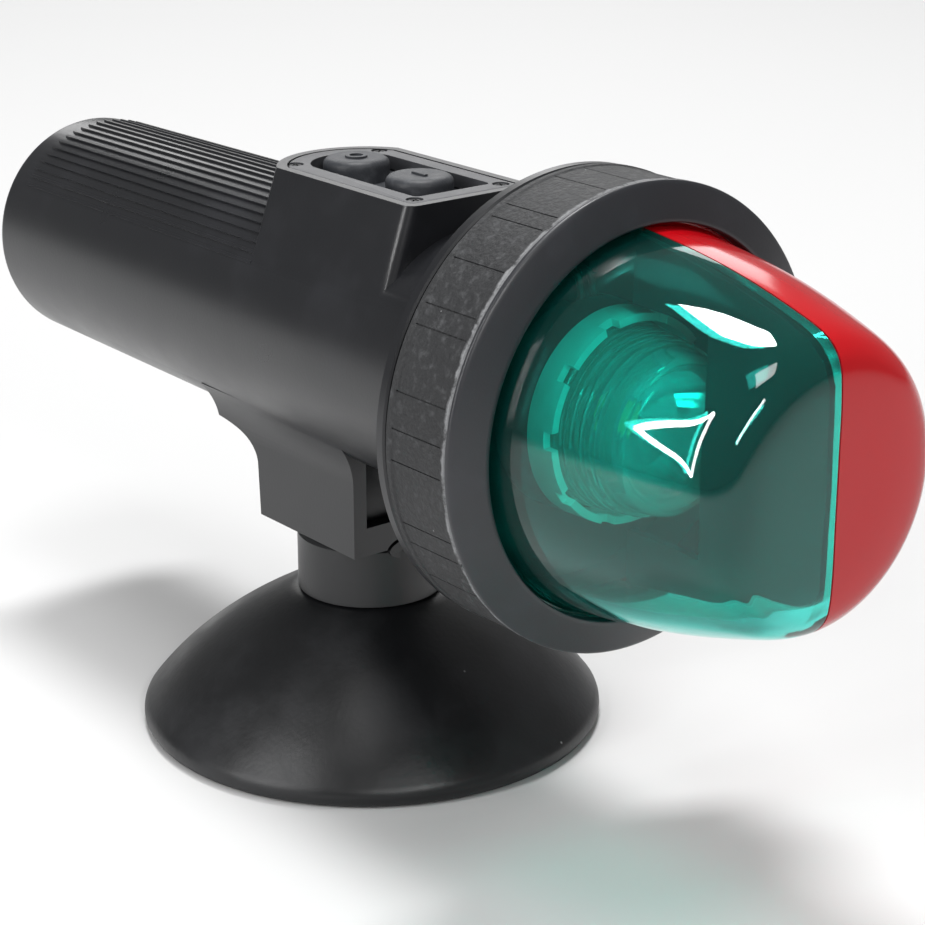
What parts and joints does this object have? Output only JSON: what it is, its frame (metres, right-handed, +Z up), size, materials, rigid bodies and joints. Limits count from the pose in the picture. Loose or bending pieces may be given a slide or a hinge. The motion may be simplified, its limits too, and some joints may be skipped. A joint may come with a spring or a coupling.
{
  "type": "portable navigation light",
  "caption": "Battery bow light: tube body, red and green lens under a screw ring, push buttons on top, suction-cup foot that pulls off its block.",
  "frame": {"origin": "on the surface under the middle of the whole light, the suction cup's axis 8.6 mm aft of it", "axes": "+Z up; -Y is the way the lens points; +X is the red side"},
  "size_m": [0.08, 0.1956, 0.106],
  "materials": {
    "black_plastic": "satin moulded black",
    "rubber": "matte black rubber",
    "steel": "zinc-plated steel",
    "nickel": "nickel-plated spring metal",
    "battery_can": "plain printed sleeve",
    "circuit_board": "green solder mask",
    "led_phosphor": "yellow phosphor",
    "white_plastic": "white moulded",
    "clear_plastic": "clear polycarbonate",
    "chrome": "metallised plastic",
    "green_lens": "polished green polycarbonate",
    "red_lens": "polished red polycarbonate",
    "wire_red": "PVC insulation",
    "wire_black": "PVC insulation"
  },
  "bodies": {
    "foot": {"suction_cup": "rubber", "mount_post": "black_plastic"},
    "lamp": {"housing": "black_plastic", "switch_frame": "black_plastic", "frame_screw_1": "steel", "frame_screw_2": "steel", "frame_screw_3": "steel", "frame_screw_4": "steel", "keypad_sheet": "rubber", "switch_board": "circuit_board", "switch_on": "black_plastic", "switch_off": "black_plastic", "wire_red": "wire_red", "wire_black": "wire_black", "battery_front": "battery_can", "battery_rear": "battery_can", "tail_spring": "steel", "contact_strip": "nickel", "front_contact": "nickel", "bulkhead": "black_plastic", "lamp_collar": "white_plastic", "collar_screw_1": "steel", "collar_screw_2": "steel", "led_board": "circuit_board", "led_chip": "led_phosphor", "lamp_cap": "clear_plastic", "reflector": "chrome", "lens_gasket": "rubber"},
    "lens": {"lens_green": "green_lens", "lens_red": "red_lens", "light_divider": "black_plastic"},
    "ring": {"lens_ring": "black_plastic", "ring_grip": "rubber"},
    "on_key": {"button_on": "rubber", "plunger_on": "white_plastic"},
    "off_key": {"button_off": "rubber", "plunger_off": "white_plastic"}
  },
  "joints": [
    {"name": "mount_release", "type": "slide", "parent": "foot", "child": "lamp", "axis": [0, 0, 1], "range_m": [0, 0.012]},
    {"name": "lens_advance", "type": "slide", "parent": "lamp", "child": "lens", "axis": [0, -1, 0], "range_m": [0, 0.00375]},
    {"name": "ring_turn", "type": "hinge", "parent": "lens", "child": "ring", "pos_m": [0, 0, 0.0702], "axis": [0, -1, 0], "range_deg": [0, 450]},
    {"name": "button_on_press", "type": "slide", "parent": "lamp", "child": "on_key", "axis": [0, 0, -1], "range_m": [0, 0.0012], "stiffness_N_per_m": 1500},
    {"name": "button_off_press", "type": "slide", "parent": "lamp", "child": "off_key", "axis": [0, 0, -1], "range_m": [0, 0.0012], "stiffness_N_per_m": 1500}
  ],
  "couplings": [
    {"joint": "lens_advance", "follows": "ring_turn", "m_per_rad": 0.000477}
  ]
}
